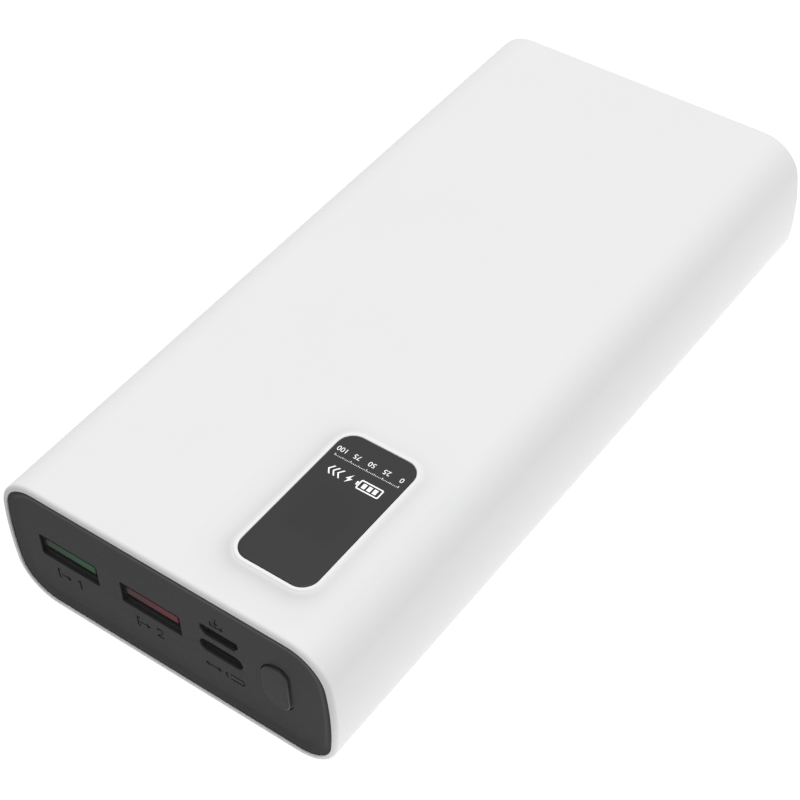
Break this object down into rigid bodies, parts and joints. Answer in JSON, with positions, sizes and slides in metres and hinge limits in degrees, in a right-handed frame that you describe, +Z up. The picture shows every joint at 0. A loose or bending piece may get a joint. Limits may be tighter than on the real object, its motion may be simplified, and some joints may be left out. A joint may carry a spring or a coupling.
{
  "type": "power bank",
  "caption": "Slab-shaped portable battery pack: white sleeve, dark end cap with charging sockets and a push button, display window on top.",
  "frame": {"origin": "centre of the underside", "axes": "+Z up, the end face with the sockets looks along -Y, +X to the right seen from that end"},
  "size_m": [0.07, 0.1476, 0.0299],
  "materials": {
    "can_aluminium": "bare can",
    "cell_pouch": "laminated foil pouch",
    "ceramic": "ceramic",
    "chip_black": "moulded epoxy",
    "circuit_board": "green solder mask",
    "dark_button": "satin dark grey plastic",
    "dark_cap": "satin dark grey plastic",
    "display_body": "matt",
    "display_light": "light diffusing plastic",
    "ferrite": "pressed ferrite",
    "foam": "closed cell foam",
    "gold": "gold plated",
    "nickel": "nickel strip",
    "port_steel": "nickel plated steel",
    "screw_steel": "zinc plated",
    "smoked_lens": "smooth smoked acrylic",
    "switch_plastic": "nylon",
    "tape": "black adhesive tape",
    "tongue_black": "moulded plastic",
    "tongue_green": "moulded plastic",
    "tongue_red": "moulded plastic",
    "tray_plastic": "fine grained plastic",
    "white_case": "soft matt moulded plastic",
    "wire_black": "silicone insulation",
    "wire_red": "silicone insulation"
  },
  "bodies": {
    "housing": {"battery_cell_lower": "cell_pouch", "battery_cell_upper": "cell_pouch", "battery_wire_black": "wire_black", "battery_wire_red": "wire_red", "cell_tape": "tape", "ceramic_capacitors": "ceramic", "charge_controller_chip": "chip_black", "chip_resistors": "chip_black", "display_board": "circuit_board", "display_digits": "display_light", "display_header": "gold", "display_lens": "smoked_lens", "display_module": "display_body", "foam_pad_rear": "foam", "foam_pad_top": "foam", "front_end_cap": "dark_cap", "inner_tray": "tray_plastic", "lens_adhesive": "tape", "main_pcb": "circuit_board", "micro_usb_contacts": "gold", "micro_usb_shell": "port_steel", "micro_usb_tongue": "tongue_black", "negative_tab_strip": "nickel", "ntc_thermistor": "wire_black", "outer_sleeve": "white_case", "pcb_screws": "screw_steel", "polymer_capacitors": "can_aluminium", "positive_tab_strip": "nickel", "power_inductor": "ferrite", "power_mosfets": "chip_black", "tact_switch_body": "chip_black", "usb_a_1_contacts": "gold", "usb_a_1_shell": "port_steel", "usb_a_1_tongue": "tongue_green", "usb_a_2_contacts": "gold", "usb_a_2_shell": "port_steel", "usb_a_2_tongue": "tongue_red", "usb_c_contacts": "gold", "usb_c_shell": "port_steel", "usb_c_tongue": "tongue_black"},
    "button": {"power_button": "dark_button"},
    "switch_plunger": {"tact_switch_plunger": "switch_plastic"}
  },
  "joints": [
    {"name": "button_press", "type": "slide", "parent": "housing", "child": "button", "axis": [0, 1, 0], "range_m": [0, 0.0003], "stiffness_N_per_m": 6000},
    {"name": "switch_press", "type": "slide", "parent": "housing", "child": "switch_plunger", "axis": [0, 1, 0], "range_m": [0, 0.0003]}
  ],
  "couplings": [
    {"joint": "switch_press", "follows": "button_press", "ratio": 1}
  ]
}
